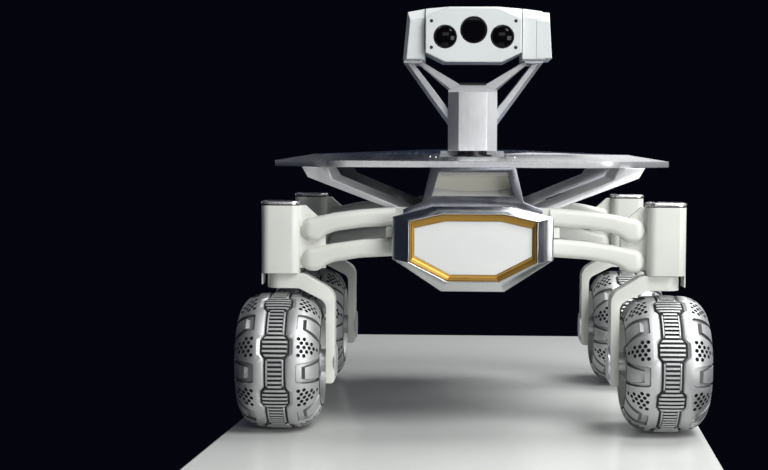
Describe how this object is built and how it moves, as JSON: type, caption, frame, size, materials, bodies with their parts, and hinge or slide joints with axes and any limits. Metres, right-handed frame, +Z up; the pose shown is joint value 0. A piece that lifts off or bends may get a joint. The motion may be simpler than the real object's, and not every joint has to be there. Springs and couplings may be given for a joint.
{
  "type": "planetary rover prototype",
  "caption": "Wheeled planetary rover prototype with steered barrel wheels on arms, a faceted nose, a flat solar deck and a panning, tilting camera head on a mast.",
  "frame": {"origin": "on the ground, midway between the four wheel contact points", "axes": "+Z up, -Y towards the nose, +X towards the rover's own left-hand side"},
  "size_m": [0.65, 0.66, 0.5924],
  "materials": {
    "satin_aluminium": "satin",
    "brushed_aluminium": "brushed",
    "polished_aluminium": "polished",
    "milled_aluminium": "milled, satin",
    "gold_anodised": "satin, anodised",
    "white_paint": "satin",
    "warm_white_paint": "satin",
    "solar_cells": "glossy dark cells",
    "black_gloss": "glossy",
    "dark_plastic": "matte",
    "lens_glass": "black glass"
  },
  "bodies": {
    "chassis": {"hull": "satin_aluminium", "belly_plate": "satin_aluminium", "tower": "brushed_aluminium", "solar_deck_frame": "satin_aluminium", "solar_cells": "solar_cells", "front_bezel": "polished_aluminium", "front_trim": "gold_anodised", "front_panel": "white_paint", "rear_bezel": "polished_aluminium", "rear_trim": "gold_anodised", "rear_panel": "white_paint", "arm_brackets": "warm_white_paint", "arm_pins": "satin_aluminium", "deck_struts": "brushed_aluminium", "housing_caps": "black_gloss", "front_left_steering_housing": "warm_white_paint", "front_left_upper_arm": "warm_white_paint", "front_left_lower_arm": "warm_white_paint", "front_right_steering_housing": "warm_white_paint", "front_right_upper_arm": "warm_white_paint", "front_right_lower_arm": "warm_white_paint", "rear_left_steering_housing": "warm_white_paint", "rear_left_upper_arm": "warm_white_paint", "rear_left_lower_arm": "warm_white_paint", "rear_right_steering_housing": "warm_white_paint", "rear_right_upper_arm": "warm_white_paint", "rear_right_lower_arm": "warm_white_paint"},
    "front_left_knuckle": {"front_left_fork": "warm_white_paint", "front_left_hub_motor": "satin_aluminium"},
    "front_left_wheel_body": {"front_left_wheel": "milled_aluminium"},
    "front_right_knuckle": {"front_right_fork": "warm_white_paint", "front_right_hub_motor": "satin_aluminium"},
    "front_right_wheel_body": {"front_right_wheel": "milled_aluminium"},
    "rear_left_knuckle": {"rear_left_fork": "warm_white_paint", "rear_left_hub_motor": "satin_aluminium"},
    "rear_left_wheel_body": {"rear_left_wheel": "milled_aluminium"},
    "rear_right_knuckle": {"rear_right_fork": "warm_white_paint", "rear_right_hub_motor": "satin_aluminium"},
    "rear_right_wheel_body": {"rear_right_wheel": "milled_aluminium"},
    "mast_body": {"mast_turntable": "dark_plastic", "mast": "brushed_aluminium", "yoke": "brushed_aluminium", "left_cheek": "warm_white_paint", "right_cheek": "warm_white_paint"},
    "camera_head": {"head_housing": "warm_white_paint", "head_plate": "warm_white_paint", "camera_lenses": "lens_glass"}
  },
  "joints": [
    {"name": "front_left_steer", "type": "hinge", "parent": "chassis", "child": "front_left_knuckle", "pos_m": [0.2665, -0.235, 0.217], "axis": [0, 0, 1], "range_deg": [-90, 90]},
    {"name": "front_left_roll", "type": "hinge", "parent": "front_left_knuckle", "child": "front_left_wheel_body", "pos_m": [0.2665, -0.235, 0.095], "axis": [1, 0, 0], "continuous": true},
    {"name": "front_right_steer", "type": "hinge", "parent": "chassis", "child": "front_right_knuckle", "pos_m": [-0.2665, -0.235, 0.217], "axis": [0, 0, 1], "range_deg": [-90, 90]},
    {"name": "front_right_roll", "type": "hinge", "parent": "front_right_knuckle", "child": "front_right_wheel_body", "pos_m": [-0.2665, -0.235, 0.095], "axis": [1, 0, 0], "continuous": true},
    {"name": "rear_left_steer", "type": "hinge", "parent": "chassis", "child": "rear_left_knuckle", "pos_m": [0.2665, 0.235, 0.217], "axis": [0, 0, 1], "range_deg": [-90, 90]},
    {"name": "rear_left_roll", "type": "hinge", "parent": "rear_left_knuckle", "child": "rear_left_wheel_body", "pos_m": [0.2665, 0.235, 0.095], "axis": [1, 0, 0], "continuous": true},
    {"name": "rear_right_steer", "type": "hinge", "parent": "chassis", "child": "rear_right_knuckle", "pos_m": [-0.2665, 0.235, 0.217], "axis": [0, 0, 1], "range_deg": [-90, 90]},
    {"name": "rear_right_roll", "type": "hinge", "parent": "rear_right_knuckle", "child": "rear_right_wheel_body", "pos_m": [-0.2665, 0.235, 0.095], "axis": [1, 0, 0], "continuous": true},
    {"name": "mast_pan", "type": "hinge", "parent": "chassis", "child": "mast_body", "pos_m": [0, -0.15, 0.3815], "axis": [0, 0, 1], "range_deg": [-170, 170]},
    {"name": "head_tilt", "type": "hinge", "parent": "mast_body", "child": "camera_head", "pos_m": [0, -0.15, 0.552], "axis": [1, 0, 0], "range_deg": [-20, 20]}
  ]
}
